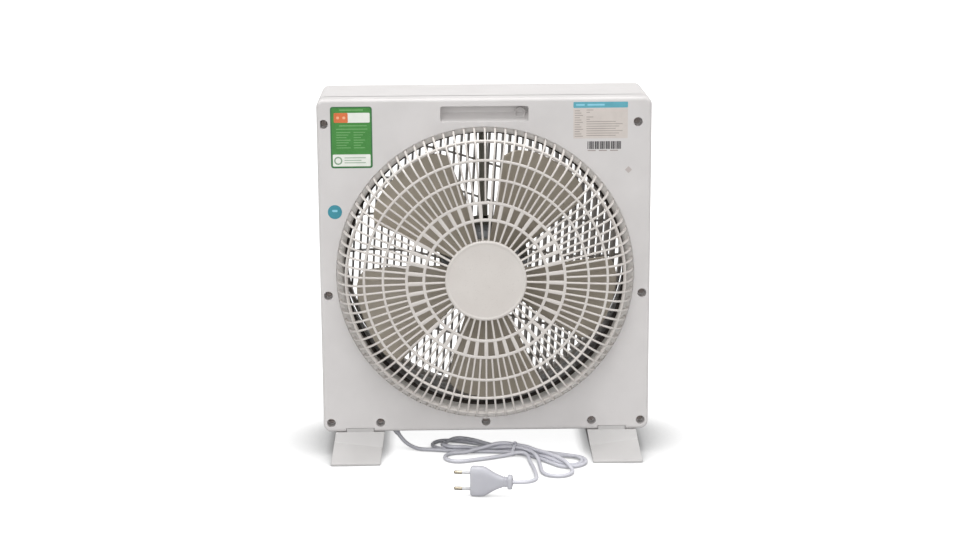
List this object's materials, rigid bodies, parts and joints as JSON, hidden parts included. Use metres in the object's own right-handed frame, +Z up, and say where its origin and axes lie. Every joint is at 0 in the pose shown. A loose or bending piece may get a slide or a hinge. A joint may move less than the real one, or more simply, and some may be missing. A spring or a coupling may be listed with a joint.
{
  "type": "box fan",
  "caption": "Square box fan on clip-on feet: round wire-like rear guard, bladed impeller, slowly turning front louvre wheel, control knobs, and a tied mains cord with a flat plug.",
  "frame": {"origin": "middle of the feet's footprint, on the floor", "axes": "+Z up; the louvre front faces -Y and the rear guard faces +Y; +X is to the left as seen from behind"},
  "size_m": [0.388, 0.3292, 0.43],
  "materials": {
    "housing_white": "satin moulded",
    "guard_cream": "satin moulded",
    "foot_white": "satin moulded",
    "blade_beige": "satin moulded",
    "louvre_white": "satin moulded",
    "knob_white": "satin moulded",
    "dark_plastic": "moulded",
    "terminal_white": "moulded",
    "zinc_steel": "zinc plated",
    "shaft_steel": "ground",
    "motor_paint": "painted",
    "laminations": "laminated",
    "bearing_bronze": "sintered",
    "cord_vinyl": "flexible vinyl",
    "pin_brass": "plated"
  },
  "bodies": {
    "housing": {"front_housing": "housing_white", "rear_cover": "housing_white", "rear_guard": "guard_cream", "handle_screw": "zinc_steel", "foot_left": "foot_white", "foot_right": "foot_white", "motor_bracket": "zinc_steel", "motor_front_shell": "motor_paint", "motor_rear_shell": "motor_paint", "motor_bolt_left": "zinc_steel", "motor_bolt_right": "zinc_steel", "motor_stator": "laminations", "rear_bearing": "bearing_bronze", "front_bearing": "bearing_bronze", "louvre_motor": "shaft_steel", "speed_switch": "dark_plastic", "timer": "dark_plastic", "louvre_switch": "dark_plastic", "capacitor": "dark_plastic", "terminal_block": "terminal_white", "strain_relief": "cord_vinyl", "cord_lead": "cord_vinyl", "cord_hank": "cord_vinyl", "cord_tie": "cord_vinyl", "cord_tail": "cord_vinyl", "plug_body": "cord_vinyl", "plug_pin_upper": "pin_brass", "plug_pin_lower": "pin_brass", "cover_screw_1": "zinc_steel", "cover_screw_2": "zinc_steel", "cover_screw_3": "zinc_steel", "cover_screw_4": "zinc_steel", "cover_screw_5": "zinc_steel", "cover_screw_6": "zinc_steel", "cover_screw_7": "zinc_steel", "cover_screw_8": "zinc_steel", "cover_screw_9": "zinc_steel", "bracket_screw_top_left": "zinc_steel", "bracket_screw_top_right": "zinc_steel", "bracket_screw_bottom_left": "zinc_steel", "bracket_screw_bottom_right": "zinc_steel"},
    "fan": {"impeller": "blade_beige", "impeller_nut": "dark_plastic", "motor_rotor": "laminations", "motor_shaft": "shaft_steel"},
    "louvre": {"louvre_wheel": "louvre_white", "louvre_cap": "louvre_white", "louvre_shaft": "shaft_steel"},
    "speed_control": {"speed_knob": "knob_white", "speed_spindle": "shaft_steel"},
    "timer_control": {"timer_knob": "knob_white", "timer_spindle": "shaft_steel"},
    "louvre_key": {"louvre_rocker": "knob_white"}
  },
  "joints": [
    {"name": "fan_spin", "type": "hinge", "parent": "housing", "child": "fan", "pos_m": [0, 0, 0.222], "axis": [0, 1, 0], "continuous": true},
    {"name": "louvre_spin", "type": "hinge", "parent": "housing", "child": "louvre", "pos_m": [0, 0, 0.222], "axis": [0, 1, 0], "continuous": true},
    {"name": "speed_turn", "type": "hinge", "parent": "housing", "child": "speed_control", "pos_m": [-0.155, 0, 0.072], "axis": [0, 1, 0], "range_deg": [0, 135]},
    {"name": "timer_turn", "type": "hinge", "parent": "housing", "child": "timer_control", "pos_m": [0.155, 0, 0.072], "axis": [0, 1, 0], "range_deg": [0, 300]},
    {"name": "louvre_key_tip", "type": "hinge", "parent": "housing", "child": "louvre_key", "pos_m": [-0.158, -0.0628, 0.38], "axis": [-1, 0, 0], "range_deg": [0, 16]}
  ]
}
